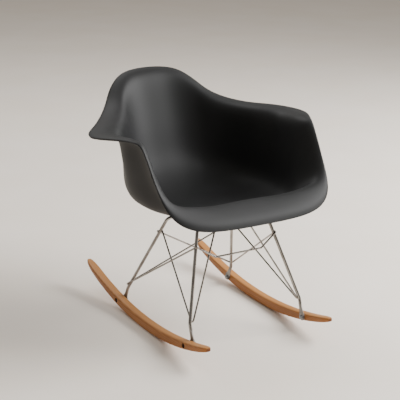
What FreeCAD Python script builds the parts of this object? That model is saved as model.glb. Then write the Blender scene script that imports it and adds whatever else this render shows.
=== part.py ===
import FreeCAD, Part
import math
import os

os.makedirs("parts", exist_ok=True)

# Moulded plastic armchair shell on a bent-wire base with two wooden rockers.
# Millimetres. X to the sitter's left and right, the chair faces -Y, +Z up.
# The origin is on the floor, under the middle of the chair in plan.

V = FreeCAD.Vector
doc = FreeCAD.newDocument("rocking_chair")
sheet = doc.addObject("Spreadsheet::Sheet", "dims")

# Driving dimensions. Lengths in millimetres.
DRIVING = {
    # shell
    "wall": 5.0,
    "edge_chamfer": 1.2,
    "floor_height": 318.0,
    "floor_centre_y": -10.0,
    "floor_flat_radius": 20.0,
    "floor_slope": 0.15,
    "heel_half_width": 200.0,
    "heel_front": 175.0,
    "heel_back": 195.0,
    "heel_power": 2.5,
    "heel_rise": 12.0,
    "heel_rise_front": 28.0,
    "heel_rise_back": 31.0,
    # mounting between shell and base
    "boss_drop": 12.0,
    "front_mount_rise": 20.0,
    "boss_radius": 15.0,
    "mount_half_width": 74.0,
    "pad_thickness": 6.0,
    "pad_radius": 14.0,
    "tab_thickness": 3.0,
    "tab_radius": 13.0,
    "tab_reach": 20.0,
    "screw_radius": 3.0,
    "screw_head_radius": 5.5,
    "screw_head_height": 4.0,
    "insert_radius": 4.5,
    "insert_length": 9.0,
    "washer_radius": 7.0,
    "washer_thickness": 1.2,
    "gap": 0.3,
    # wire base
    "leg_radius": 4.25,
    "leg_bend": 15.0,
    "wire_radius": 2.3,
    "wire_bend": 5.0,
    "rail_radius": 3.0,
    "rail_half_spacing": 38.0,
    "foot_thickness": 4.0,
    "foot_radius": 9.0,
    "foot_neck": 22.0,
    "front_bar_y": 150.0,
    "front_bar_half": 106.3,
    "front_knee_height": 88.0,
    "rear_bar_y": 15.0,
    "rear_bar_half": 101.0,
    "rear_knee_height": 62.0,
    "front_low_joint": 98.0,
    "front_top_joint": 264.0,
    "rear_low_joint": 73.0,
    "rear_top_joint": 240.5,
    "rear_side_joint": 246.5,
    "centre_joint_half": 47.0,
    "cross_wire_half": 70.0,
    "cross_wire_y": 180.7,
    "cross_wire_height": 235.3,
    # rockers
    "rocker_half_span": 196.7,
    "rocker_width": 26.0,
    "rocker_height": 26.0,
    "rocker_floor_radius": 890.0,
    "rocker_tip_height": 9.0,
    "rocker_low_y": 8.0,
    "rocker_front": 341.0,
    "rocker_back": 341.0,
    "rocker_edge": 3.5,
    "rocker_tip": 12.0,
    "front_bolt_y": 238.6,
    "rear_bolt_y": 138.1,
    "bolt_head_radius": 6.0,
    "bolt_head_height": 3.6,
    "nut_flange_radius": 6.2,
    "nut_flange_height": 2.0,
    "nut_barrel_length": 12.0,
    "recess_depth": 7.0,
}

# The rim of the shell, from the middle of the front lip round to the top of the
# back. Each station gives half width, depth behind the origin, height above the
# seat floor, then how far in and how far up the wall turns out into the rim.
RIM_STATIONS = {
    "front": (0, -281, 22, 62, 56),
    "lip": (125, -279, 25, 60, 54),
    "corner": (200, -264, 41, 48, 46),
    "riser": (238, -234, 77, 24, 26),
    "post": (250, -189, 139, 16, 10),
    "nose": (256, -141, 207, 18, 8),
    "arm_front": (268, -107, 225, 34, 8),
    "arm_mid": (294, -57, 225, 56, 10),
    "arm_wide": (320, 23, 218, 78, 14),
    "arm_back": (283, 90, 221, 74, 14),
    "root": (230, 164, 221, 66, 14),
    "shoulder_low": (175, 239, 237, 62, 10),
    "shoulder": (138, 284, 268, 52, 6),
    "shoulder_top": (98, 310, 298, 40, 2),
    "crown": (52, 323, 311, 34, 2),
    "top": (0, 327, 314, 34, 2),
}
STATION_PARTS = ("half", "deep", "high", "turn_in", "turn_up")

row = 1
for name, value in DRIVING.items():
    sheet.set("A%d" % row, name)
    sheet.set("B%d" % row, repr(value))
    sheet.setAlias("B%d" % row, name)
    row += 1
for station, values in RIM_STATIONS.items():
    for part, value in zip(STATION_PARTS, values):
        alias = "rim_%s_%s" % (station, part)
        sheet.set("A%d" % row, alias)
        sheet.set("B%d" % row, repr(float(value)))
        sheet.setAlias("B%d" % row, alias)
        row += 1
doc.recompute()


def dim(name):
    """A driving dimension, read from the sheet."""
    return float(sheet.get(name))


# Levels that follow from the driving dimensions.
UNDERSIDE = dim("floor_height") - dim("wall")
MOUNT_TOP = UNDERSIDE - dim("boss_drop")
TAB_TOP = MOUNT_TOP - dim("pad_thickness")
TAB_BOTTOM = TAB_TOP - dim("tab_thickness")
BAR_HEIGHT = TAB_BOTTOM - dim("gap") - dim("leg_radius")
ROCKER_INNER = dim("rocker_half_span") - dim("rocker_width")
FOOT_X = ROCKER_INNER - dim("gap") - dim("foot_thickness") / 2
FRONT_BAR_Y = -dim("front_bar_y")
REAR_BAR_Y = dim("rear_bar_y")
BACK_RUN = dim("rocker_back") + dim("rocker_low_y")
FLOOR_RADIUS = dim("rocker_floor_radius")
BACK_RISE = FLOOR_RADIUS - math.sqrt(FLOOR_RADIUS ** 2 - BACK_RUN ** 2)
TOP_RISE = BACK_RISE + dim("rocker_tip_height") - dim("rocker_height")
ROCKER_TOP_RADIUS = (BACK_RUN ** 2 + TOP_RISE ** 2) / (2 * TOP_RISE)
MOUNTS = (
    (FRONT_BAR_Y + dim("tab_reach"), dim("front_mount_rise")),
    (REAR_BAR_Y - dim("tab_reach"), 0.0),
)
nodes = []


def keep(obj, label):
    """Marks an object as one of the chair's pieces."""
    obj.Label = label
    nodes.append(obj)
    return obj


# Shell: a grid of rings. Every column is one cut through the wall, from the flat
# disc in the seat floor, out to the heel, up the wall and out to the rim.
FLOOR_REACH = 0.45
LOW_WALL = 0.33
HIGH_WALL = 0.72
PROFILE_KNOTS = (0.0, 0.25, 0.5, 0.75, 1.0)
PROFILE_MULTS = (4, 1, 1, 1, 4)
OUTSIDE_STEPS = (0.0, 0.2, 0.35, 0.5, 0.65, 0.8, 0.9, 1.0)
STATIONS_A_PATCH = 3
SEW_REACH = 0.001


def rim_stations():
    """The stations all the way round: edge point, turn in and turn up."""
    names = list(RIM_STATIONS)
    around = []
    for station in names + names[-2:0:-1]:
        side = 1 if len(around) < len(names) else -1
        sizes = [dim("rim_%s_%s" % (station, part)) for part in STATION_PARTS]
        half, deep, high, turn_in, turn_up = sizes
        around.append((V(side * half, deep, dim("floor_height") + high), turn_in, turn_up))
    return around


def heel_point(way):
    """Where the seat floor meets the wall, in a flat direction from the centre."""
    length = dim("heel_front") if way.y < 0 else dim("heel_back")
    power = dim("heel_power")
    reach = (abs(way.x) / dim("heel_half_width")) ** power + (abs(way.y) / length) ** power
    rise = dim("heel_rise_front") if way.y < 0 else dim("heel_rise_back")
    height = dim("floor_height") + dim("heel_rise") + rise * abs(way.y) ** 3
    out = reach ** (-1 / power)
    return V(way.x * out, dim("floor_centre_y") + way.y * out, height), out


def column_poles(rim, turn_in, turn_up):
    """Poles of the inside of the wall at one station, from the floor disc to the rim."""
    way = V(rim.x, rim.y - dim("floor_centre_y"), 0).normalize()
    along = way - V(0, 0, way.y * dim("floor_slope"))
    wall_top = rim - way * turn_in + V(0, 0, turn_up)
    heel, out = heel_point(way)
    centre = V(0, dim("floor_centre_y"), dim("floor_height"))
    return [
        centre + along * dim("floor_flat_radius"),
        centre + along * (out * FLOOR_REACH),
        heel,
        heel + (wall_top - heel) * LOW_WALL,
        heel + (wall_top - heel) * HIGH_WALL,
        wall_top,
        rim,
    ]


def ring_curve(points, marks):
    """A closed smooth curve through one ring of points."""
    curve = Part.BSplineCurve()
    curve.interpolate(Points=points, PeriodicFlag=True, Parameters=marks)
    return curve


def ring_surface(rows, marks, mults, knots, degree=3):
    """A surface closed in the ring direction, from rows of poles across it."""
    rings = [ring_curve(row, marks) for row in rows]
    around = rings[0]
    poles = [[ring.getPole(k + 1) for ring in rings] for k in range(around.NbPoles)]
    surface = Part.BSplineSurface()
    surface.buildFromPolesMultsKnots(
        poles, around.getMultiplicities(), mults, around.getKnots(), knots, True, False, 3, degree)
    return surface


def ruled_band(low, high, marks):
    """A closed band, straight across, between two rings of points."""
    return ring_surface([low, high], marks, (2, 2), (0.0, 1.0), 1)


def fitted_surface(rows, marks, steps):
    """A surface closed in the ring direction, through rows of points."""
    columns = []
    for column in zip(*rows):
        curve = Part.BSplineCurve()
        curve.interpolate(Points=list(column), Parameters=steps)
        columns.append(curve)
    poles = [[column.getPole(r + 1) for column in columns] for r in range(columns[0].NbPoles)]
    return ring_surface(poles, marks, columns[0].getMultiplicities(), columns[0].getKnots())


def patches(surface, marks):
    """Faces of a closed surface, cut at every third station."""
    faces = []
    cuts = marks[::STATIONS_A_PATCH]
    for start, end in zip(cuts, cuts[1:]):
        patch = surface.copy()
        patch.segment(start, end, 0.0, 1.0)
        faces.append(patch.toShape())
    return faces


def shell_skin():
    """The closed wall: inside, outside, chamfered edge and the two floor discs."""
    stations = rim_stations()
    marks = [0.0]
    for here, ahead in zip(stations, stations[1:] + stations[:1]):
        marks.append(marks[-1] + here[0].distanceToPoint(ahead[0]))
    columns = [column_poles(*station) for station in stations]
    inside_rows = [list(row) for row in zip(*columns)]
    inside = ring_surface(inside_rows, marks, PROFILE_MULTS, PROFILE_KNOTS)
    wall = dim("wall")
    outside_rows = []
    for step in OUTSIDE_STEPS:
        outside_rows.append([inside.value(u, step) + inside.normal(u, step) * wall for u in marks[:-1]])
    outside = fitted_surface(outside_rows, marks, OUTSIDE_STEPS)
    chamfer = dim("edge_chamfer")
    edge_rings = [inside_rows[-1], [], [], outside_rows[-1]]
    for u in marks[:-1]:
        normal = inside.normal(u, 1.0)
        crest = inside.value(u, 1.0) + inside.tangent(u, 1.0)[1] * chamfer
        edge_rings[1].append(crest + normal * chamfer)
        edge_rings[2].append(crest + normal * (wall - chamfer))
    surfaces = [inside, outside]
    for low, high in zip(edge_rings, edge_rings[1:]):
        surfaces.append(ruled_band(low, high, marks))
    faces = []
    for surface in surfaces:
        faces += patches(surface, marks)
    for row in (inside_rows[0], outside_rows[0]):
        faces.append(Part.Face(Part.Wire([ring_curve(row, marks).toShape()])))
    skin = Part.makeShell(faces)
    skin.sewShape(SEW_REACH)
    return Part.Solid(skin)


def wall_span(skin, x, y):
    """Heights of the underside and of the top of the shell wall over one spot."""
    highest = dim("floor_height") + dim("rim_riser_high")
    probe = Part.makeLine(V(x, y, UNDERSIDE - dim("wall")), V(x, y, highest))
    cut = skin.common(probe).BoundBox
    return cut.ZMin, cut.ZMax


CLEAR_HOLE = "dims.screw_radius + dims.gap"


def add_cylinder(name, radius, height, place):
    """A cylinder whose radius and height are expressions on the sheet."""
    body = doc.addObject("Part::Cylinder", name)
    body.setExpression("Radius", radius)
    body.setExpression("Height", height)
    body.Placement = place
    return body


def at(x, y, z, turn=None):
    """A placement at a point, turned if asked."""
    return FreeCAD.Placement(V(x, y, z), turn or FreeCAD.Rotation())


def fuse(name, parts):
    """One solid from several overlapping ones."""
    whole = doc.addObject("Part::MultiFuse", name)
    whole.Shapes = parts
    return whole


def cut(name, base, tools):
    """A solid less one or more tools."""
    tool = tools[0]
    if len(tools) > 1:
        tool = doc.addObject("Part::Compound", name + "_tools")
        tool.Links = tools
    less = doc.addObject("Part::Cut", name)
    less.Base = base
    less.Tool = tool
    return less


def group(name, solids):
    """Several like solids as one piece group."""
    together = doc.addObject("Part::Compound", name)
    together.Links = solids
    return keep(together, name)


def mount_points():
    """The four fixing points: place in plan, and rise above the rear pair."""
    return [(side * dim("mount_half_width"), y, rise) for y, rise in MOUNTS for side in (-1, 1)]


def build_shell():
    """Moulded shell: one skin, with four bosses under the seat for brass inserts."""
    skin = doc.addObject("Part::Feature", "shell_skin")
    skin.Shape = shell_skin()
    skin.Placement = at(0, 0, 0)
    bosses = []
    holes = []
    for k, (x, y, rise) in enumerate(mount_points()):
        low, high = wall_span(skin.Shape, x, y)
        foot = at(x, y, MOUNT_TOP + rise)
        boss = doc.addObject("Part::Cylinder", "boss_%d" % k)
        boss.setExpression("Radius", "dims.boss_radius")
        boss.Height = (low + high) / 2 - MOUNT_TOP - rise
        boss.Placement = foot
        bosses.append(boss)
        holes.append(add_cylinder(
            "boss_hole_%d" % k, "dims.insert_radius + dims.gap", "dims.insert_length + dims.gap", foot))
    whole = fuse("shell_with_bosses", [skin] + bosses)
    keep(cut("seat_shell", whole, holes), "seat_shell")


def build_inserts():
    """Brass threaded inserts in the bosses."""
    inserts = []
    for k, (x, y, rise) in enumerate(mount_points()):
        foot = at(x, y, MOUNT_TOP + rise)
        outer = add_cylinder("insert_outer_%d" % k, "dims.insert_radius", "dims.insert_length", foot)
        bore = add_cylinder("insert_bore_%d" % k, CLEAR_HOLE, "dims.insert_length", foot)
        inserts.append(cut("insert_%d" % k, outer, [bore]))
    group("threaded_inserts", inserts)


def ring_parts(name, radius, height, z, label):
    """Flat rings of one size round the four shell screws."""
    rings = []
    for k, (x, y, rise) in enumerate(mount_points()):
        low = at(x, y, z + rise)
        outer = add_cylinder("%s_outer_%d" % (name, k), radius, height, low)
        bore = add_cylinder("%s_bore_%d" % (name, k), CLEAR_HOLE, height, low)
        rings.append(cut("%s_%d" % (name, k), outer, [bore]))
    group(label, rings)


def build_tabs():
    """Steel tabs welded on the cross bars, one under each boss."""
    labels = ("front_left", "front_right", "rear_left", "rear_right")
    bars = (FRONT_BAR_Y, FRONT_BAR_Y, REAR_BAR_Y, REAR_BAR_Y)
    for label, bar_y, (x, y, rise) in zip(labels, bars, mount_points()):
        low = TAB_BOTTOM + rise
        ends = []
        for word, end_y in (("hole_end", y), ("bar_end", bar_y)):
            ends.append(add_cylinder(
                "%s_tab_%s" % (label, word), "dims.tab_radius", "dims.tab_thickness", at(x, end_y, low)))
        web = doc.addObject("Part::Box", label + "_tab_web")
        web.setExpression("Length", "2 * dims.tab_radius")
        web.setExpression("Width", "dims.tab_reach")
        web.setExpression("Height", "dims.tab_thickness")
        web.Placement = at(x - dim("tab_radius"), min(y, bar_y), low)
        hole = add_cylinder(label + "_tab_hole", CLEAR_HOLE, "dims.tab_thickness", at(x, y, low))
        plate = fuse(label + "_tab_plate", ends + [web])
        keep(cut(label + "_mount_tab", plate, [hole]), label + "_mount_tab")


SOCKET_SHARE = 0.5
SOCKET_DEPTH_SHARE = 0.6
HEAD_SLOPE_SHARE = 0.55


def screw(name, shank_radius, shank_length, head_radius, head_height, place):
    """A button-headed screw along local +Z, head down, with a hexagon socket."""
    head = add_cylinder(name + "_head", head_radius, head_height, place)
    sloped = doc.addObject("Part::Chamfer", name + "_slope")
    sloped.Base = head
    doc.recompute()
    low = [i + 1 for i, edge in enumerate(head.Shape.Edges) if is_far_rim(edge, place)]
    reach = head.Height.Value * HEAD_SLOPE_SHARE
    sloped.Edges = [(i, reach, reach) for i in low]
    shank = doc.addObject("Part::Cylinder", name + "_shank")
    shank.setExpression("Radius", shank_radius)
    shank.Height = shank_length
    shank.Placement = place.multiply(at(0, 0, head.Height.Value))
    socket = doc.addObject("Part::Prism", name + "_socket")
    socket.Polygon = 6
    socket.setExpression("Circumradius", "(%s) * %s" % (head_radius, SOCKET_SHARE))
    socket.setExpression("Height", "(%s) * %s" % (head_height, SOCKET_DEPTH_SHARE))
    socket.Placement = place
    whole = fuse(name + "_whole", [sloped, shank])
    return cut(name, whole, [socket])


def is_far_rim(edge, place):
    """True for the circle at the local origin end of a placed cylinder."""
    if not isinstance(edge.Curve, Part.Circle):
        return False
    local = place.inverse().multVec(edge.Curve.Center)
    return abs(local.z) < SEW_REACH


def build_shell_screws():
    """Screws up through washer, tab and rubber into the inserts."""
    head_height = dim("screw_head_height")
    start = TAB_BOTTOM - dim("washer_thickness") - head_height
    length = MOUNT_TOP + dim("insert_length") - (start + head_height) - dim("gap")
    screws = []
    for k, (x, y, rise) in enumerate(mount_points()):
        screws.append(screw(
            "shell_screw_%d" % k, "dims.screw_radius", length, "dims.screw_head_radius",
            "dims.screw_head_height", at(x, y, start + rise)))
    group("shell_screws", screws)


def bent_path(points, radius):
    """A wire through the points with each inner corner rounded."""
    edges = []
    start = points[0]
    for before, corner, after in zip(points, points[1:], points[2:]):
        back = (before - corner).normalize()
        on = (after - corner).normalize()
        half = back.getAngle(on) / 2
        run = radius / math.tan(half)
        enter = corner + back * run
        leave = corner + on * run
        inward = (back + on).normalize()
        middle = corner + inward * (radius / math.sin(half) - radius)
        edges.append(Part.makeLine(start, enter))
        edges.append(Part.Arc(enter, middle, leave).toShape())
        start = leave
    edges.append(Part.makeLine(start, points[-1]))
    return Part.Wire(edges)


def rod(name, points, radius, bend):
    """A round rod swept along a bent path."""
    spine = doc.addObject("Part::Feature", name + "_path")
    spine.Shape = bent_path(points, dim(bend))
    spine.Placement = at(0, 0, 0)
    ahead = (points[1] - points[0]).normalize()
    profile = doc.addObject("Part::Circle", name + "_profile")
    profile.setExpression("Radius", "dims." + radius)
    profile.Placement = FreeCAD.Placement(points[0], FreeCAD.Rotation(V(0, 0, 1), ahead))
    swept = doc.addObject("Part::Sweep", name)
    swept.Sections = [profile]
    swept.Spine = (spine, ["Edge%d" % (i + 1) for i in range(len(spine.Shape.Edges))])
    swept.Solid = True
    swept.Frenet = False
    swept.Transition = "Right corner"
    return swept


def rocker_mid_height(y):
    """Height of the middle of a rocker at a given depth."""
    floor = dim("rocker_floor_radius")
    run = y + dim("rocker_low_y")
    low = floor - math.sqrt(floor ** 2 - run ** 2)
    high = dim("rocker_height") + ROCKER_TOP_RADIUS - math.sqrt(ROCKER_TOP_RADIUS ** 2 - run ** 2)
    return (low + high) / 2


class LegPair:
    """One hoop's two legs: where they are bolted, bend, and meet the cross bar."""

    def __init__(self, bolt_y, bar_y, bar_half, bar_height, knee_height):
        self.bolt = V(FOOT_X, bolt_y, rocker_mid_height(bolt_y))
        self.bar = V(bar_half, bar_y, bar_height)
        share = (knee_height - self.bolt.z) / (self.bar.z - self.bolt.z)
        self.knee = V(FOOT_X, bolt_y + (bar_y - bolt_y) * share, knee_height)

    def point(self, height, side):
        """The leg's centre at a height above the knee, on one side."""
        share = (height - self.knee.z) / (self.bar.z - self.knee.z)
        place = self.knee + (self.bar - self.knee) * share
        return V(side * place.x, place.y, place.z)

    def way(self, side):
        """The leg's upward direction above the knee."""
        ahead = (self.bar - self.knee).normalize()
        return V(side * ahead.x, ahead.y, ahead.z)


FRONT = LegPair(
    -dim("front_bolt_y"), FRONT_BAR_Y, dim("front_bar_half"), BAR_HEIGHT + dim("front_mount_rise"),
    dim("front_knee_height"))
REAR = LegPair(
    dim("rear_bolt_y"), REAR_BAR_Y, dim("rear_bar_half"), BAR_HEIGHT, dim("rear_knee_height"))


def pressed_foot(name, legs, side):
    """The flattened, drilled foot at the bottom of a leg, with its neck up to the rod."""
    up = (legs.knee - legs.bolt).normalize()
    turn = FreeCAD.Rotation(V(1, 0, 0), V(0, 0, 0), up, "ZXY")
    place = FreeCAD.Placement(V(side * legs.bolt.x, legs.bolt.y, legs.bolt.z), turn)
    half = dim("foot_thickness") / 2
    across = at(-half, 0, 0, FreeCAD.Rotation(V(0, 1, 0), 90))
    tip = add_cylinder(name + "_tip", "dims.foot_radius", "dims.foot_thickness", place.multiply(across))
    plate = doc.addObject("Part::Box", name + "_plate")
    plate.setExpression("Length", "dims.foot_thickness")
    plate.setExpression("Width", "2 * dims.foot_radius")
    plate.setExpression("Height", "dims.foot_radius + 3 * dims.gap")
    plate.Placement = place.multiply(at(-half, -dim("foot_radius"), 0))
    flat = doc.addObject("Part::Ellipse", name + "_neck_low")
    flat.setExpression("MajorRadius", "dims.foot_radius")
    flat.setExpression("MinorRadius", "dims.foot_thickness / 2")
    flat.Placement = place.multiply(at(0, 0, dim("foot_radius"), FreeCAD.Rotation(V(0, 0, 1), 90)))
    round_end = doc.addObject("Part::Circle", name + "_neck_high")
    round_end.setExpression("Radius", "dims.leg_radius")
    neck_top = dim("foot_radius") + dim("foot_neck")
    round_end.Placement = place.multiply(at(0, 0, neck_top, FreeCAD.Rotation(V(0, 0, 1), 90)))
    neck = doc.addObject("Part::Loft", name + "_neck")
    neck.Sections = [flat, round_end]
    neck.Solid = True
    neck.Ruled = False
    hole = add_cylinder(name + "_hole", CLEAR_HOLE, "dims.foot_thickness", place.multiply(across))
    return [tip, plate, neck], hole, place.multVec(V(0, 0, neck_top))


def build_hoop(label, legs):
    """A hoop of thick rod: foot, leg, bar under the seat, leg, foot."""
    solids = []
    holes = []
    starts = {}
    for side in (-1, 1):
        parts, hole, top = pressed_foot("%s_foot_%d" % (label, side + 1), legs, side)
        solids += parts
        holes.append(hole)
        starts[side] = top
    path = [starts[-1]]
    for side in (-1, 1):
        knee = V(side * legs.knee.x, legs.knee.y, legs.knee.z)
        bar = V(side * legs.bar.x, legs.bar.y, legs.bar.z)
        path += [knee, bar] if side < 0 else [bar, knee]
    path.append(starts[1])
    solids.append(rod(label + "_rod", path, "leg_radius", "leg_bend"))
    keep(cut(label, fuse(label + "_whole", solids), holes), label)


LEG_SPACING = dim("leg_radius") + dim("wire_radius") + dim("gap")
PAST_BEND = dim("leg_radius")
PAST_END = dim("wire_radius")
VEE_PASSES = 40


def off_bar(bar_way, wire_way, hint):
    """The direction square to a bar and a wire that cross, on the side of the hint."""
    normal = bar_way.cross(wire_way).normalize()
    return normal if normal.dot(hint) > 0 else normal * -1


def weld_end(joint, bar_way, start, hint):
    """Where a wire from a start point ends: just past the bar it lies beside, or butted to it."""
    wire_way = (joint - start).normalize()
    if hint is None:
        angle = bar_way.getAngle(wire_way)
        short = (dim("leg_radius") + dim("gap")) / math.sin(angle)
        return joint - wire_way * (short + abs(dim("wire_radius") / math.tan(angle)))
    run = 1 + PAST_END / start.distanceToPoint(joint)
    return joint + off_bar(bar_way, wire_way, hint) * (LEG_SPACING * run) + wire_way * PAST_END


def vee_path(legs, height, side, beside, ends):
    """A V wire bent beside a leg, on the side of a hint; each end has its joint, bar and hint.

    The hint is the side of the bar that the end lies on, or None where it is butted to it.
    """
    joint = legs.point(height, side)
    marks = (legs.bolt, legs.knee, legs.bar)
    leg = Part.makePolygon([V(side * mark.x, mark.y, mark.z) for mark in marks])
    apex = joint
    reach = LEG_SPACING
    for _ in range(VEE_PASSES):
        tips = [weld_end(place, bar_way, apex, hint) for place, bar_way, hint in ends]
        arms = [(tip - apex).normalize() for tip in tips]
        half = arms[0].getAngle(arms[1]) / 2
        past = dim("wire_bend") / math.sin(half) - dim("wire_bend") + PAST_BEND
        back = (arms[0] + arms[1]).normalize() * -past
        apex = joint + off_bar(arms[0], arms[1], beside) * reach + back
        path = [tips[0], apex, tips[1]]
        reach += LEG_SPACING - bent_path(path, dim("wire_bend")).distToShape(leg)[0]
    return path


def build_wires():
    """Thin bracing wires between the legs and up to the front cross bar."""
    for side, word in ((-1, "left"), (1, "right")):
        ends = [
            (REAR.point(dim("rear_top_joint"), -side), REAR.way(-side), V(0, side, 0)),
            (FRONT.point(dim("front_top_joint"), side), FRONT.way(side), None),
        ]
        path = vee_path(REAR, dim("rear_low_joint"), side, V(side, 1, 1), ends)
        keep(rod("rear_%s_vee" % word, path, "wire_radius", "wire_bend"), "rear_%s_vee" % word)
        ends = [
            (REAR.point(dim("rear_side_joint"), side), REAR.way(side), V(-side, 0, 0)),
            (V(side * dim("centre_joint_half"), FRONT.bar.y, FRONT.bar.z), V(1, 0, 0), V(0, 1, 0)),
        ]
        path = vee_path(FRONT, dim("front_low_joint"), side, V(-side, 0, 0), ends)
        keep(rod("front_%s_vee" % word, path, "wire_radius", "wire_bend"), "front_%s_vee" % word)
    bends = []
    tips = []
    for side in (-1, 1):
        bend = V(side * dim("cross_wire_half"), -dim("cross_wire_y"), dim("cross_wire_height"))
        joint = FRONT.point(dim("front_top_joint"), side)
        bends.append(bend)
        tips.append(weld_end(joint, FRONT.way(side), bend, V(0, -1, 0)))
    path = [tips[0]] + bends + [tips[1]]
    keep(rod("front_cross_wire", path, "wire_radius", "wire_bend"), "front_cross_wire")


def build_rails():
    """Two short rods that tie the cross bars together under the seat."""
    setback = dim("leg_radius") + dim("gap")
    for side, word in ((-1, "left"), (1, "right")):
        start = V(side * dim("rail_half_spacing"), FRONT.bar.y, FRONT.bar.z)
        ahead = (V(start.x, REAR.bar.y, REAR.bar.z) - start).normalize()
        rail = doc.addObject("Part::Cylinder", word + "_rail")
        rail.setExpression("Radius", "dims.rail_radius")
        rail.setExpression("Height", (
            "sqrt((dims.front_bar_y + dims.rear_bar_y) ^ 2 + dims.front_mount_rise ^ 2)"
            " - 2 * (dims.leg_radius + dims.gap)"))
        rail.Placement = FreeCAD.Placement(start + ahead * setback, FreeCAD.Rotation(V(0, 0, 1), ahead))
        keep(rail, word + "_rail")


def long_cylinder(name, y, z, x, height):
    """A cylinder lying along X, from a given x."""
    body = doc.addObject("Part::Cylinder", name)
    body.Height = height
    body.Placement = at(x, y, z, FreeCAD.Rotation(V(0, 1, 0), 90))
    return body


def edges_to_round(body, wanted, radius):
    """The edges of a body whose boxes are wanted, each with its rounding."""
    chosen = []
    for index, edge in enumerate(body.Shape.Edges):
        if wanted(edge.BoundBox):
            chosen.append((index + 1, radius, radius))
    return chosen


def build_rocker(side, word):
    """A wooden rocker: a crescent between two arcs, rounded, drilled and counterbored."""
    width = dim("rocker_width")
    start = ROCKER_INNER if side > 0 else -dim("rocker_half_span")
    low_y = -dim("rocker_low_y")
    outer = long_cylinder(word + "_rocker_disc", low_y, dim("rocker_floor_radius"), start, width)
    outer.setExpression("Radius", "dims.rocker_floor_radius")
    top_centre = dim("rocker_height") + ROCKER_TOP_RADIUS
    inner = long_cylinder(word + "_rocker_top", low_y, top_centre, start, width)
    inner.Radius = ROCKER_TOP_RADIUS
    stock = doc.addObject("Part::Box", word + "_rocker_stock")
    stock.setExpression("Length", "dims.rocker_width")
    stock.setExpression("Width", "dims.rocker_front + dims.rocker_back")
    stock.Height = BACK_RISE + dim("rocker_height")
    stock.Placement = at(start, -dim("rocker_front"), 0)
    bent = doc.addObject("Part::Common", word + "_rocker_bent")
    bent.Base = cut(word + "_rocker_crescent", outer, [inner])
    bent.Tool = stock
    doc.recompute()
    tips = doc.addObject("Part::Fillet", word + "_rocker_tips")
    tips.Base = bent
    upright = lambda box: box.ZLength > box.YLength and box.XLength < width / 2
    tips.Edges = edges_to_round(bent, upright, dim("rocker_tip"))
    doc.recompute()
    rounded = doc.addObject("Part::Fillet", word + "_rocker_rounded")
    rounded.Base = tips
    around = lambda box: box.YLength > box.ZLength or box.XLength > SEW_REACH
    rounded.Edges = edges_to_round(tips, around, dim("rocker_edge"))
    doc.recompute()
    holes = []
    outer_face = side * dim("rocker_half_span")
    barrel_depth = dim("recess_depth") + dim("nut_barrel_length") + dim("gap")
    for legs, place in ((FRONT, "front"), (REAR, "rear")):
        for step, radius, depth in (
                ("through", CLEAR_HOLE, width),
                ("barrel", "dims.insert_radius + dims.gap", barrel_depth),
                ("recess", "dims.nut_flange_radius + dims.gap", dim("recess_depth"))):
            x = outer_face - depth if side > 0 else outer_face
            hole = long_cylinder("%s_%s_%s" % (word, place, step), legs.bolt.y, legs.bolt.z, x, depth)
            hole.setExpression("Radius", radius)
            holes.append(hole)
    keep(cut(word + "_rocker", rounded, holes), word + "_rocker")


def along_x(x, y, z, side):
    """A placement whose local +Z points outward along X on one side."""
    return at(x, y, z, FreeCAD.Rotation(V(0, 1, 0), 90 * side))


def build_rocker_fixings():
    """Bolts through the pressed feet into sleeve nuts sunk in the rockers."""
    bolts = []
    washers = []
    nuts = []
    plate_inner = FOOT_X - dim("foot_thickness") / 2
    head_start = plate_inner - dim("washer_thickness") - dim("bolt_head_height")
    nut_seat = dim("rocker_half_span") - dim("recess_depth")
    shank = nut_seat - (head_start + dim("bolt_head_height")) - dim("nut_flange_height")
    for legs, place in ((FRONT, "front"), (REAR, "rear")):
        for side in (-1, 1):
            tag = "%s_%d" % (place, side + 1)
            y = legs.bolt.y
            z = legs.bolt.z
            bolts.append(screw(
                "rocker_bolt_" + tag, "dims.screw_radius", shank, "dims.bolt_head_radius",
                "dims.bolt_head_height", along_x(side * head_start, y, z, side)))
            start = along_x(side * (plate_inner - dim("washer_thickness")), y, z, side)
            ring = add_cylinder(
                "rocker_washer_ring_" + tag, "dims.washer_radius", "dims.washer_thickness", start)
            bore = add_cylinder("rocker_washer_bore_" + tag, CLEAR_HOLE, "dims.washer_thickness", start)
            washers.append(cut("rocker_washer_" + tag, ring, [bore]))
            barrel_start = along_x(side * (nut_seat - dim("nut_barrel_length")), y, z, side)
            barrel = add_cylinder(
                "nut_barrel_" + tag, "dims.insert_radius", "dims.nut_barrel_length + dims.gap", barrel_start)
            seat = along_x(side * nut_seat, y, z, side)
            flange = add_cylinder(
                "nut_flange_" + tag, "dims.nut_flange_radius", "dims.nut_flange_height", seat)
            thread = add_cylinder("nut_thread_" + tag, CLEAR_HOLE, "dims.nut_barrel_length", barrel_start)
            socket = doc.addObject("Part::Prism", "nut_socket_" + tag)
            socket.Polygon = 6
            socket.setExpression("Circumradius", "dims.screw_radius")
            socket.setExpression("Height", "dims.nut_flange_height")
            socket.Placement = seat
            solid_nut = fuse("nut_whole_" + tag, [barrel, flange])
            nuts.append(cut("sleeve_nut_" + tag, solid_nut, [thread, socket]))
    group("rocker_bolts", bolts)
    group("rocker_washers", washers)
    group("rocker_sleeve_nuts", nuts)


build_shell()
build_inserts()
ring_parts("pad", "dims.pad_radius", "dims.pad_thickness", TAB_TOP, "rubber_pads")
build_tabs()
washer_level = TAB_BOTTOM - dim("washer_thickness")
ring_parts("washer", "dims.washer_radius", "dims.washer_thickness", washer_level, "shell_washers")
build_shell_screws()
build_hoop("front_hoop", FRONT)
build_hoop("rear_hoop", REAR)
build_wires()
build_rails()
build_rocker(-1, "left")
build_rocker(1, "right")
build_rocker_fixings()
doc.recompute()

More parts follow.
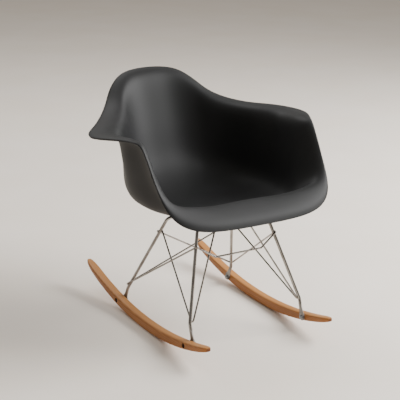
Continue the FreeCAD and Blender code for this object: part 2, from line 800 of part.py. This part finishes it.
for obj in doc.Objects:
    if "Invalid" in obj.State or "Error" in obj.State:
        raise RuntimeError("%s did not build: %s" % (obj.Name, obj.State))
for node in nodes:
    if node.Shape.isNull() or not node.Shape.isValid() or not node.Shape.Solids:
        raise RuntimeError("%s has no valid solid" % node.Label)
    node.Shape.exportStep("parts/%s.step" % node.Label)
    print(node.Label, len(node.Shape.Solids), round(node.Shape.Volume), node.Shape.BoundBox)
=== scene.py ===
import bmesh
import bpy
import math
from mathutils import Matrix, Vector
from mathutils.bvhtree import BVHTree


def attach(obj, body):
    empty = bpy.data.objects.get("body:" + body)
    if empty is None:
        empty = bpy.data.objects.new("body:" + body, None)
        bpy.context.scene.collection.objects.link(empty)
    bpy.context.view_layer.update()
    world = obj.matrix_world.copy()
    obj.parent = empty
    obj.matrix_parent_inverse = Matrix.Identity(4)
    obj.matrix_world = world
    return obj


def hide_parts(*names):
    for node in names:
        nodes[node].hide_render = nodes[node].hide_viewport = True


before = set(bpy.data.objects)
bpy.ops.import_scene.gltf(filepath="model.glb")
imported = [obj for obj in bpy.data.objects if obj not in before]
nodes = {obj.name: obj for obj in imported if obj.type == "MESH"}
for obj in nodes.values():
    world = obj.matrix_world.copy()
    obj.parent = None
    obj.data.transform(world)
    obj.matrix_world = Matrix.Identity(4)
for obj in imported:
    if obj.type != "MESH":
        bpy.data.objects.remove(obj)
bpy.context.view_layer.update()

# Rockers: two curved runners, each sawn from one length of steamed beech, sanded
# round at the edges and finished with a satin lacquer. The grain runs along them.


def linear(code):
    """An sRGB hex colour as the linear values that a shader takes."""
    parts = [int(code[i:i + 2], 16) / 255 for i in (1, 3, 5)]
    return tuple(p / 12.92 if p <= 0.04045 else ((p + 0.055) / 1.055) ** 2.4 for p in parts) + (1.0,)


def add(tree, kind, inputs=None, **settings):
    """Adds a shader node with its settings; an input is a value or another node's socket."""
    made = tree.nodes.new(kind)
    for name, value in settings.items():
        setattr(made, name, value)
    for socket, value in (inputs or {}).items():
        if isinstance(value, bpy.types.NodeSocket):
            tree.links.new(value, made.inputs[socket])
        else:
            made.inputs[socket].default_value = value
    return made


def new_material(name):
    """An empty material, its node tree and the place of a surface in metres."""
    material = bpy.data.materials.new(name)
    material.use_nodes = True
    tree = material.node_tree
    tree.nodes.clear()
    place = add(tree, "ShaderNodeTexCoord").outputs["Object"]
    return material, tree, place


def finish_material(tree, inputs):
    """The surface shader of a material, joined to its output."""
    surface = add(tree, "ShaderNodeBsdfPrincipled", inputs)
    output = add(tree, "ShaderNodeOutputMaterial")
    tree.links.new(surface.outputs["BSDF"], output.inputs["Surface"])
    return surface


def set_ramp(ramp, stops):
    """Colour stops of a ramp, as (position, hex colour)."""
    elements = ramp.color_ramp.elements
    while len(elements) < len(stops):
        elements.new(0.5)
    for element, (position, code) in zip(elements, stops):
        element.position = position
        element.color = linear(code)


def dress(names, material):
    """Gives CAD pieces a finish in place of their plain one."""
    for name in names:
        slots = nodes[name].data.materials
        for i in range(len(slots)):
            slots[i] = material


RING_MM = 3.2
WAVE_PERIOD = 0.314
DRIFT_MM = 45.0
DRIFT_LENGTH_MM = 330.0
FLECK_MM = 0.9
FLECK_LENGTH_MM = 14.0

# Beech, sawn and sanded, satin lacquer: warm tan with soft darker rings and short
# flecks along the length and a low even gloss. The top is painted paler, a painted
# highlight standing in for the light from above. The end grain at the tips is darker,
# and the sole is scuffed dull, where the floor wears the lacquer.
beech, tree, place = new_material("beech_satin_lacquered")
centred = add(tree, "ShaderNodeMapping", {
    "Vector": place, "Location": (0.03, 0.0, 0.11), "Rotation": (0.02, 0.09, 0.01)})
drift = add(tree, "ShaderNodeMapping", {
    "Vector": centred.outputs["Vector"], "Scale": (1000 / DRIFT_MM, 1000 / DRIFT_LENGTH_MM, 1000 / DRIFT_MM)})
waver = add(tree, "ShaderNodeTexNoise", {"Vector": drift.outputs["Vector"], "Scale": 1.0, "Detail": 3.0})
rings = add(tree, "ShaderNodeTexWave", {
    "Vector": centred.outputs["Vector"], "Scale": WAVE_PERIOD / (RING_MM / 1000), "Distortion": 5.0,
    "Detail": 2.0, "Detail Scale": 0.12}, wave_type="RINGS", rings_direction="Y", wave_profile="SIN")
stretch = add(tree, "ShaderNodeMapping", {
    "Vector": place, "Scale": (1000 / FLECK_MM, 1000 / FLECK_LENGTH_MM, 1000 / FLECK_MM)})
flecks = add(tree, "ShaderNodeTexNoise", {"Vector": stretch.outputs["Vector"], "Scale": 1.0, "Detail": 2.0})
grain = add(tree, "ShaderNodeMix", {
    "Factor": 0.4, "A": rings.outputs["Fac"], "B": flecks.outputs["Fac"]}, data_type="FLOAT")
blend = add(tree, "ShaderNodeMix", {
    "Factor": 0.45, "A": grain.outputs["Result"], "B": waver.outputs["Fac"]}, data_type="FLOAT")
tint = add(tree, "ShaderNodeValToRGB", {"Fac": blend.outputs["Result"]})
set_ramp(tint, ((0.22, "#93592a"), (0.5, "#a3672f"), (0.78, "#b3783b")))
facing = add(tree, "ShaderNodeSeparateXYZ", {"Vector": add(tree, "ShaderNodeNewGeometry").outputs["Normal"]})
end_face = add(tree, "ShaderNodeMath", {0: facing.outputs["Y"]}, operation="ABSOLUTE")
end_grain = add(tree, "ShaderNodeMapRange", {
    "Value": end_face.outputs["Value"], "From Min": 0.72, "From Max": 0.95})
# Painted highlight: surfaces that face up are mixed towards a paler tan, standing in for the light from above.
painted_top_highlight = add(tree, "ShaderNodeMapRange", {
    "Value": facing.outputs["Z"], "From Min": 0.4, "From Max": 1.0, "To Max": 0.4})
pale = add(tree, "ShaderNodeMix", {
    "Factor": painted_top_highlight.outputs["Result"], "A": tint.outputs["Color"], "B": linear("#cf9558")}, data_type="RGBA")
ends = add(tree, "ShaderNodeMix", {
    "Factor": end_grain.outputs["Result"], "A": pale.outputs["Result"], "B": linear("#6b3c16")}, data_type="RGBA")
sole = add(tree, "ShaderNodeMapRange", {"Value": facing.outputs["Z"], "From Min": -0.9, "From Max": -0.99})
scuff = add(tree, "ShaderNodeMath", {
    0: sole.outputs["Result"], 1: flecks.outputs["Fac"]}, operation="MULTIPLY")
worn = add(tree, "ShaderNodeMix", {
    "Factor": scuff.outputs["Value"], "A": ends.outputs["Result"], "B": linear("#7d5a38")}, data_type="RGBA")
gloss = add(tree, "ShaderNodeMapRange", {"Value": scuff.outputs["Value"], "To Min": 0.42, "To Max": 0.75})
pores = add(tree, "ShaderNodeBump", {"Height": blend.outputs["Result"], "Strength": 0.25, "Distance": 0.0002})
finish_material(tree, {
    "Base Color": worn.outputs["Result"], "Roughness": gloss.outputs["Result"], "Normal": pores.outputs["Normal"],
    "Specular IOR Level": 0.3, "Coat Weight": 0.06, "Coat Roughness": 0.35})
dress(("left_rocker", "right_rocker"), beech)

BORE_MM = 0.8

# Beech, bored across the grain and left bare: dull, with torn fibres, and coloured dark brown as painted shade in
# the recess.
bore_painted_shade, tree, place = new_material("beech_bore_painted_shade")
torn = add(tree, "ShaderNodeTexNoise", {"Vector": place, "Scale": 1000 / BORE_MM, "Detail": 2.0})
tint = add(tree, "ShaderNodeValToRGB", {"Fac": torn.outputs["Fac"]})
set_ramp(tint, ((0.3, "#2f1a0c"), (0.7, "#4a2b15")))
finish_material(tree, {"Base Color": tint.outputs["Color"], "Roughness": 0.8})

HALF_LENGTH = 0.341
LOWEST_Y = -0.008
MIDDLE_X = 0.1837
HALF_WIDTH = 0.013
HEIGHT = 0.026
FLOOR_ARC = 0.920
TOP_ARC = 1.1487
FRONT_TAPER = 0.036
REAR_TAPER = 0.060
TIP_HALF = 0.0042
TIP_LIFT = 0.05
TIP_DROP = 0.25
STATIONS = 30
AROUND = 16
TOP_SQUARENESS = 4.4
SOLE_SQUARENESS = 6.5
RECESS_RADIUS = 0.0065
RECESS_DEPTH = 0.007
DRILL_PAST = 0.002
BOLT_PLACES = ((-0.2386, 0.0399), (0.1381, 0.0237))


def rocker_heights(y):
    """The underside and the top of a rocker at one place along it."""
    run = y - LOWEST_Y
    low = FLOOR_ARC - math.sqrt(FLOOR_ARC ** 2 - run ** 2)
    high = HEIGHT + TOP_ARC - math.sqrt(TOP_ARC ** 2 - run ** 2)
    return low, high


def rocker_ring(side, y):
    """Points round one section: a rounded oblong that narrows and thins towards the tip."""
    low, high = rocker_heights(y)
    taper = FRONT_TAPER if y < 0 else REAR_TAPER
    fullness = math.sqrt(1 - (1 - min((HALF_LENGTH - abs(y)) / taper, 1)) ** 2)
    thinning = (high - low) * (1 - fullness)
    low, high = low + TIP_LIFT * thinning, high - TIP_DROP * thinning
    half = TIP_HALF + (HALF_WIDTH - TIP_HALF) * fullness
    points = []
    for k in range(AROUND):
        turn = 2 * math.pi * (k + 0.5) / AROUND
        across, up = math.cos(turn), math.sin(turn)
        power = 2 / (TOP_SQUARENESS if up > 0 else SOLE_SQUARENESS)
        points.append(Vector((
            side * MIDDLE_X + half * math.copysign(abs(across) ** power, across), y,
            (low + high) / 2 + (high - low) / 2 * math.copysign(abs(up) ** power, up))))
    return points


def new_object(name, work, material):
    """A smooth-shaded object from a finished mesh."""
    mesh = bpy.data.meshes.new(name)
    work.to_mesh(mesh)
    work.free()
    mesh.polygons.foreach_set("use_smooth", [True] * len(mesh.polygons))
    mesh.materials.append(material)
    made = bpy.data.objects.new(name, mesh)
    bpy.context.scene.collection.objects.link(made)
    return made


def new_piece(name, work, material):
    """An object that rides on the chair, with its material slot."""
    piece = new_object(name, work, material)
    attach(piece, "root")
    return piece


for side, word in ((-1, "left"), (1, "right")):
    work = bmesh.new()
    rings = []
    for k in range(STATIONS + 1):
        y = -HALF_LENGTH * math.cos(math.pi * k / STATIONS)
        rings.append([work.verts.new(point) for point in rocker_ring(side, y)])
    for near, far in zip(rings, rings[1:]):
        for k in range(AROUND):
            work.faces.new((near[k - 1], near[k], far[k], far[k - 1]))
    work.faces.new(rings[0][::-1])
    work.faces.new(rings[-1])
    bmesh.ops.subdivide_edges(work, edges=work.edges, cuts=1, smooth=1.0, use_grid_fill=True)
    bmesh.ops.recalc_face_normals(work, faces=work.faces)
    drill = bmesh.new()
    for y, height in BOLT_PLACES:
        across = side * (MIDDLE_X + HALF_WIDTH - (RECESS_DEPTH - DRILL_PAST) / 2)
        place = Matrix.Translation((across, y, height)) @ Matrix.Rotation(math.pi / 2, 4, "Y")
        bmesh.ops.create_cone(
            drill, cap_ends=True, segments=40, radius1=RECESS_RADIUS, radius2=RECESS_RADIUS,
            depth=RECESS_DEPTH + DRILL_PAST, matrix=place)
    # The cutter carries the dark painted-shade colour into the bores.
    cutter = new_object(word + "_drill", drill, bore_painted_shade)
    rocker = new_piece(word + "_beech_rocker", work, beech)
    smooth = rocker.modifiers.new("smooth", "SUBSURF")
    smooth.levels = smooth.render_levels = 1
    bored = rocker.modifiers.new("bored", "BOOLEAN")
    bored.object = cutter
    bored.operation = "DIFFERENCE"
    bored.material_mode = "TRANSFER"
    bpy.context.view_layer.update()
    shaped = bpy.data.meshes.new_from_object(rocker.evaluated_get(bpy.context.evaluated_depsgraph_get()))
    rocker.modifiers.clear()
    rocker.data = shaped
    bpy.data.objects.remove(cutter)
    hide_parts(word + "_rocker")

# Rocker fixings: a socket-headed bolt and washer through each pressed foot, drawn
# into a sleeve nut that is sunk in the outer face of the rocker.

TURNED_MM = 0.6

# Zinc-plated steel, turned: grey, with fine rings from the tool and a dull gloss.
zinc, tree, place = new_material("zinc_plated_turned_steel")
fine = add(tree, "ShaderNodeTexNoise", {"Vector": place, "Scale": 1000 / TURNED_MM, "Detail": 3.0})
tint = add(tree, "ShaderNodeValToRGB", {"Fac": fine.outputs["Fac"]})
set_ramp(tint, ((0.3, "#8f9091"), (0.7, "#b9babb")))
gloss = add(tree, "ShaderNodeMapRange", {"Value": fine.outputs["Fac"], "To Min": 0.24, "To Max": 0.4})
finish_material(tree, {"Base Color": tint.outputs["Color"], "Roughness": gloss.outputs["Result"], "Metallic": 1.0})
dress(("rocker_bolts", "rocker_washers", "shell_screws", "shell_washers"), zinc)

# Black-oxide steel, turned: near black with a faint oily gloss, so the nuts read as
# dark holes in the wood.
oxide, tree, place = new_material("black_oxide_steel")
fine = add(tree, "ShaderNodeTexNoise", {"Vector": place, "Scale": 1000 / TURNED_MM, "Detail": 2.0})
tint = add(tree, "ShaderNodeValToRGB", {"Fac": fine.outputs["Fac"]})
set_ramp(tint, ((0.3, "#17171a"), (0.7, "#2a2a2d")))
finish_material(tree, {"Base Color": tint.outputs["Color"], "Roughness": 0.38, "Metallic": 1.0})
dress(("rocker_sleeve_nuts",), oxide)

# Wire base: two hoops of thick steel rod and thinner bracing wires, bent cold,
# welded where they cross, then nickel-chrome plated all over.

DRAWN_MM = 0.7
PLATE_CLOUD_MM = 33.0
PRESSED_BELOW = 0.085

# Chrome plate on drawn wire: bright, with a slight warm cast and fine marks left
# under the plate, and duller low down, where the feet were pressed flat.
chrome, tree, place = new_material("chrome_plated_drawn_wire")
fine = add(tree, "ShaderNodeTexNoise", {"Vector": place, "Scale": 1000 / DRAWN_MM, "Detail": 2.0})
cloud = add(tree, "ShaderNodeTexNoise", {"Vector": place, "Scale": 1000 / PLATE_CLOUD_MM, "Detail": 2.0})
tint = add(tree, "ShaderNodeValToRGB", {"Fac": cloud.outputs["Fac"]})
set_ramp(tint, ((0.35, "#88837e"), (0.65, "#a29e99")))
gloss = add(tree, "ShaderNodeMapRange", {"Value": fine.outputs["Fac"], "To Min": 0.08, "To Max": 0.2})
height = add(tree, "ShaderNodeSeparateXYZ", {"Vector": place})
pressed = add(tree, "ShaderNodeMapRange", {
    "Value": height.outputs["Z"], "From Min": PRESSED_BELOW, "From Max": PRESSED_BELOW - 0.03, "To Max": 0.4})
dull = add(tree, "ShaderNodeMath", {0: gloss.outputs["Result"], 1: pressed.outputs["Result"]}, operation="ADD")
finish_material(tree, {"Base Color": tint.outputs["Color"], "Roughness": dull.outputs["Value"], "Metallic": 1.0})
dress((
    "front_hoop", "rear_hoop", "rear_left_vee", "rear_right_vee", "front_left_vee", "front_right_vee",
    "front_cross_wire", "left_rail", "right_rail", "front_left_mount_tab", "front_right_mount_tab",
    "rear_left_mount_tab", "rear_right_mount_tab"), chrome)

BEAD_LENGTH = 0.0046
BEAD_RADIUS = 0.0026
BEAD_RIPPLE = 0.0003
BEAD_RIPPLES = 5
JOINT_REACH = 0.014


def surface_of(name):
    """A search tree over the surface of one CAD piece."""
    mesh = nodes[name].data
    return BVHTree.FromPolygons([v.co for v in mesh.vertices], [p.vertices for p in mesh.polygons])


# Every weld is a short rippled bead in the gap between a bracing wire and a hoop. The
# places are near the joints; each bead goes where the two rods come closest.
hoops = {name: surface_of(name) for name in ("front_hoop", "rear_hoop")}
joints = []
for side, word in ((-1, "left"), (1, "right")):
    joints += [
        ("rear_" + word + "_vee", "rear_hoop", (-side * 0.1168, 0.0301, 0.2387)),
        ("rear_" + word + "_vee", "rear_hoop", (side * 0.1727, 0.1243, 0.0714)),
        ("rear_" + word + "_vee", "front_hoop", (side * 0.1194, -0.1599, 0.2610)),
        ("front_" + word + "_vee", "rear_hoop", (side * 0.1063, 0.0360, 0.2457)),
        ("front_" + word + "_vee", "front_hoop", (side * 0.1636, -0.2272, 0.0839)),
        ("front_" + word + "_vee", "front_hoop", (side * 0.0460, -0.1428, 0.3072)),
        ("front_cross_wire", "front_hoop", (side * 0.1185, -0.1674, 0.2640)),
        (word + "_rail", "front_hoop", (side * 0.038, -0.150, 0.307)),
        (word + "_rail", "rear_hoop", (side * 0.038, 0.015, 0.287))]
work = bmesh.new()
for wire, hoop, near in joints:
    close = [v.co for v in nodes[wire].data.vertices if (v.co - Vector(near)).length < JOINT_REACH]
    touch = min(close, key=lambda point: hoops[hoop].find_nearest(point)[3])
    middle = sum(close, Vector()) / len(close)
    groove = touch.lerp(hoops[hoop].find_nearest(touch)[0], 0.5)
    turn = (touch - middle).to_track_quat("X", "Z").to_matrix().to_4x4()
    bead = bmesh.ops.create_uvsphere(work, u_segments=20, v_segments=24, radius=1.0)["verts"]
    for vert in bead:
        swell = BEAD_RADIUS + BEAD_RIPPLE * math.cos(vert.co.z * BEAD_RIPPLES * math.pi)
        vert.co = Vector((vert.co.x * swell, vert.co.y * swell, vert.co.z * BEAD_LENGTH))
    bmesh.ops.transform(work, verts=bead, matrix=Matrix.Translation(groove) @ turn)
beads = new_piece("weld_beads", work, chrome)

# Shell mounts: rubber pads between tabs and shell, and brass inserts in the bosses
# that the screws are driven into.

BLOOM_MM = 4.5
LATHE_MM = 1.1

# Natural rubber, moulded: black and dull, with a faint grey bloom in patches.
rubber, tree, place = new_material("moulded_black_rubber")
bloom = add(tree, "ShaderNodeTexNoise", {"Vector": place, "Scale": 1000 / BLOOM_MM, "Detail": 3.0})
tint = add(tree, "ShaderNodeValToRGB", {"Fac": bloom.outputs["Fac"]})
set_ramp(tint, ((0.3, "#161616"), (0.7, "#242424")))
finish_material(tree, {"Base Color": tint.outputs["Color"], "Roughness": 0.75})
dress(("rubber_pads",), rubber)

# Brass, turned: yellow metal with light and dark flecks from the lathe tool.
brass, tree, place = new_material("turned_brass")
fine = add(tree, "ShaderNodeTexNoise", {"Vector": place, "Scale": 1000 / LATHE_MM})
tint = add(tree, "ShaderNodeValToRGB", {"Fac": fine.outputs["Fac"]})
set_ramp(tint, ((0.3, "#a98443"), (0.7, "#c49f5a")))
finish_material(tree, {"Base Color": tint.outputs["Color"], "Roughness": 0.3, "Metallic": 1.0})
dress(("threaded_inserts",), brass)

# Seat shell: seat, back and arms in one injection moulding of charcoal
# polypropylene, 5 mm thick. The rim is rolled outward all the way round, and four
# bosses under the seat take the inserts.

SHELL_WALL = 0.005
SEAT_HEIGHT = 0.318
SEAT_CENTRE = -0.010
FLAT_RADIUS = 0.020
FLOOR_SLOPE = 0.15
HEEL_WIDTH = 0.200
HEEL_LENGTHS = {"front": 0.175, "back": 0.195}
HEEL_RISES = {"front": 0.028, "back": 0.031}
HEEL_POWER = 2.5
HEEL_RISE = 0.012
ROWS = 15
FIT_PASSES = 14
EDGE_ROUND = 0.0007
JOIN_REACH = 0.00001

# The rim from the middle of the front round to the top of the back, in millimetres:
# half width, depth, height above the seat, turn in, turn up, and drop at the edge.
RIM_MM = (
    (0, -281, 22, 62, 56, 14), (125, -279, 25, 60, 54, 14), (200, -264, 41, 48, 46, 12),
    (238, -234, 77, 24, 26, 8), (250, -189, 139, 16, 10, 5), (256, -141, 207, 18, 8, 5),
    (268, -107, 225, 34, 8, 4), (294, -57, 225, 56, 10, 4), (320, 23, 218, 78, 14, 4),
    (283, 90, 221, 74, 14, 4), (230, 164, 221, 66, 14, 4), (175, 239, 237, 62, 10, 4),
    (138, 284, 268, 52, 6, 4), (98, 310, 298, 40, 2, 2), (52, 323, 310.5, 34, 1, 1),
    (0, 327, 313.3, 34, 1, 1))


def shell_column(side, sizes):
    """Poles of the wall's inside, from the seat floor out to one place on the rim."""
    half, deep, high, turn_in, turn_up, drop = [size / 1000 for size in sizes]
    rim = Vector((side * half, deep, SEAT_HEIGHT + high))
    way = Vector((rim.x, rim.y - SEAT_CENTRE, 0.0)).normalized()
    end = "front" if way.y < 0 else "back"
    reach = (abs(way.x) / HEEL_WIDTH) ** HEEL_POWER + (abs(way.y) / HEEL_LENGTHS[end]) ** HEEL_POWER
    out = reach ** (-1 / HEEL_POWER)
    centre = Vector((0.0, SEAT_CENTRE, SEAT_HEIGHT))
    heel = centre + way * out + Vector((0.0, 0.0, HEEL_RISE + HEEL_RISES[end] * abs(way.y) ** 3))
    along = way - Vector((0.0, 0.0, way.y * FLOOR_SLOPE))
    wall_top = rim - way * turn_in + Vector((0.0, 0.0, turn_up))
    return [
        centre + along * FLAT_RADIUS, centre + along * (out * 0.45), heel, heel.lerp(wall_top, 0.33),
        heel.lerp(wall_top, 0.72), wall_top, rim + Vector((0.0, 0.0, drop)), rim]


def on_curve(poles, share):
    """A point on the clamped cubic spline of some poles."""
    spans = len(poles) - 3
    knots = [min(max(k - 3, 0), spans) / spans for k in range(len(poles) + 4)]
    first = min(int(share * spans), spans - 1)
    work = [pole.copy() for pole in poles[first:first + 4]]
    for level in (1, 2, 3):
        for j in range(3, level - 1, -1):
            low, high = knots[first + j], knots[first + j + 4 - level]
            work[j] = work[j - 1].lerp(work[j], (share - low) / (high - low))
    return work[3]


def fit_cage(points, closed):
    """Cage points whose subdivided line passes through the points; an open line keeps its ends."""
    cage = list(points)
    for _ in range(FIT_PASSES):
        eased = []
        for i, here in enumerate(cage):
            if closed or 0 < i < len(cage) - 1:
                eased.append((cage[i - 1] + here * 4 + cage[(i + 1) % len(cage)]) / 6)
            else:
                eased.append(here)
        cage = [here + point - soft for here, point, soft in zip(cage, points, eased)]
    return cage


TOOL_GRAIN_MM = 1.6
SHADE_MM = 111.0

# Polypropylene moulded against a spark-eroded tool: matte charcoal. The real grain is
# 0.3 mm, and is drawn coarser here so that it shows.
plastic, tree, place = new_material("moulded_polypropylene_charcoal")
pits = add(tree, "ShaderNodeTexNoise", {"Vector": place, "Scale": 1000 / TOOL_GRAIN_MM, "Detail": 2.0})
cloud = add(tree, "ShaderNodeTexNoise", {"Vector": place, "Scale": 1000 / SHADE_MM, "Detail": 2.0})
tint = add(tree, "ShaderNodeValToRGB", {"Fac": cloud.outputs["Fac"]})
set_ramp(tint, ((0.35, "#1e1f1f"), (0.65, "#222223")))
gloss = add(tree, "ShaderNodeMapRange", {"Value": cloud.outputs["Fac"], "To Min": 0.5, "To Max": 0.56})
grain = add(tree, "ShaderNodeBump", {"Height": pits.outputs["Fac"], "Strength": 0.12, "Distance": 0.0002})
finish_material(tree, {
    "Base Color": tint.outputs["Color"], "Roughness": gloss.outputs["Result"], "IOR": 1.49,
    "Specular IOR Level": 0.24, "Normal": grain.outputs["Normal"]})
dress(("seat_shell",), plastic)

columns = []
for station, sizes in enumerate(RIM_MM + RIM_MM[-2:0:-1]):
    poles = shell_column(1 if station < len(RIM_MM) else -1, sizes)
    columns.append(fit_cage([on_curve(poles, row / (ROWS - 1)) for row in range(ROWS)], False))
work = bmesh.new()
rings = [[work.verts.new(point) for point in fit_cage(list(ring), True)] for ring in zip(*columns)]
work.faces.new(rings[0])
for inner, outer in zip(rings, rings[1:]):
    for i in range(len(inner)):
        work.faces.new((inner[i - 1], outer[i - 1], outer[i], inner[i]))
shell = new_piece("moulded_seat_shell", work, plastic)
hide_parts("seat_shell")
smooth = shell.modifiers.new("smooth", "SUBSURF")
smooth.levels = smooth.render_levels = 3
wall = shell.modifiers.new("wall", "SOLIDIFY")
wall.thickness = SHELL_WALL
wall.offset = -1.0
rounding = shell.modifiers.new("rounded_edge", "BEVEL")
rounding.width = EDGE_ROUND
rounding.segments = 3
rounding.use_clamp_overlap = False
rounding.limit_method = "ANGLE"
rounding.angle_limit = math.radians(50)
joined = shell.modifiers.new("joined", "WELD")
joined.merge_threshold = JOIN_REACH

BOSS_RADIUS = 0.015
BOSS_ROUND = 0.0012
BOSS_FLARE = 0.002
BOSS_SINK = 0.002
BOSS_HOLE_RADIUS = 0.0048
BOSS_HOLE_DEPTH = 0.0093
BOSS_PLACES = ((-0.074, -0.130, 0.321), (0.074, -0.130, 0.321), (-0.074, -0.005, 0.301), (0.074, -0.005, 0.301))
BOSS_SIDES = 48

bpy.context.view_layer.update()
moulded = shell.evaluated_get(bpy.context.evaluated_depsgraph_get())
work = bmesh.new()
for x, y, bottom in BOSS_PLACES:
    rings = []
    for radius, rise in (
            (BOSS_HOLE_RADIUS, BOSS_HOLE_DEPTH), (BOSS_HOLE_RADIUS, 0.0), (BOSS_RADIUS - BOSS_ROUND, 0.0),
            (BOSS_RADIUS, BOSS_ROUND), (BOSS_RADIUS + BOSS_FLARE, None)):
        ring = []
        for k in range(BOSS_SIDES):
            turn = 2 * math.pi * k / BOSS_SIDES
            point = Vector((x + radius * math.cos(turn), y + radius * math.sin(turn), bottom + (rise or 0.0)))
            if rise is None:
                point.z = moulded.ray_cast(point, (0.0, 0.0, 1.0))[1].z + BOSS_SINK
            ring.append(work.verts.new(point))
        rings.append(ring)
    for inner, outer in zip(rings, rings[1:]):
        for k in range(BOSS_SIDES):
            work.faces.new((inner[k - 1], inner[k], outer[k], outer[k - 1]))
    work.faces.new(rings[0])
    work.faces.new(rings[-1][::-1])
bmesh.ops.recalc_face_normals(work, faces=work.faces)
bosses = new_piece("shell_bosses", work, plastic)
for face in bosses.data.polygons:
    face.use_smooth = len(face.vertices) == 4
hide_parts("seat_shell")

# Studio: a plain pale floor, soft light from above on the right, and the camera.

FLOOR_HALF = 15.0
FLOOR_SHADE_MM = 333.0

bpy.ops.mesh.primitive_plane_add(size=2 * FLOOR_HALF)
floor = bpy.context.object
floor.name = "studio_floor"
board, tree, place = new_material("pale_studio_floor")
cloud = add(tree, "ShaderNodeTexNoise", {"Vector": place, "Scale": 1000 / FLOOR_SHADE_MM})
tint = add(tree, "ShaderNodeValToRGB", {"Fac": cloud.outputs["Fac"]})
set_ramp(tint, ((0.3, "#f4eadd"), (0.7, "#f7eee3")))
finish_material(tree, {"Base Color": tint.outputs["Color"], "Roughness": 0.7})
floor.data.materials.append(board)

world = bpy.data.worlds.new("studio")
bpy.context.scene.world = world
world.use_nodes = True
world.node_tree.nodes["Background"].inputs["Color"].default_value = linear("#f1ebe3")
world.node_tree.nodes["Background"].inputs["Strength"].default_value = 0.42


def add_lamp(name, way, distance, size, power):
    """A square soft lamp that shines at the middle of the chair from one way."""
    lamp = bpy.data.lights.new(name, "AREA")
    lamp.size = size
    lamp.energy = power
    holder = bpy.data.objects.new(name, lamp)
    way = Vector(way).normalized()
    holder.location = Vector((0.0, 0.0, 0.35)) + way * distance
    holder.rotation_euler = way.to_track_quat("Z", "Y").to_euler()
    bpy.context.scene.collection.objects.link(holder)


add_lamp("key", (0.95, -0.53, 0.78), 3.4, 2.2, 240.0)
add_lamp("window", (1.0, 0.1, 0.4), 3.2, 2.2, 40.0)
add_lamp("back", (0.0, 0.8, 1.0), 3.6, 2.2, 48.0)

CAMERA_PLACE = (-1.47597, -2.47011, 1.25489)
CAMERA_AZIMUTH = math.radians(-30.679)
CAMERA_DOWN = math.radians(17.892)
CAMERA_ROLL = math.radians(0.633)
CAMERA_LENS_MM = 101.22

camera = bpy.data.objects.new("camera", bpy.data.cameras.new("camera"))
camera.data.lens = CAMERA_LENS_MM
camera.data.sensor_width = 36.0
camera.matrix_world = (
    Matrix.Translation(CAMERA_PLACE) @ Matrix.Rotation(CAMERA_AZIMUTH, 4, "Z")
    @ Matrix.Rotation(math.pi / 2 - CAMERA_DOWN, 4, "X") @ Matrix.Rotation(CAMERA_ROLL, 4, "Z"))
bpy.context.scene.collection.objects.link(camera)
bpy.context.scene.camera = camera
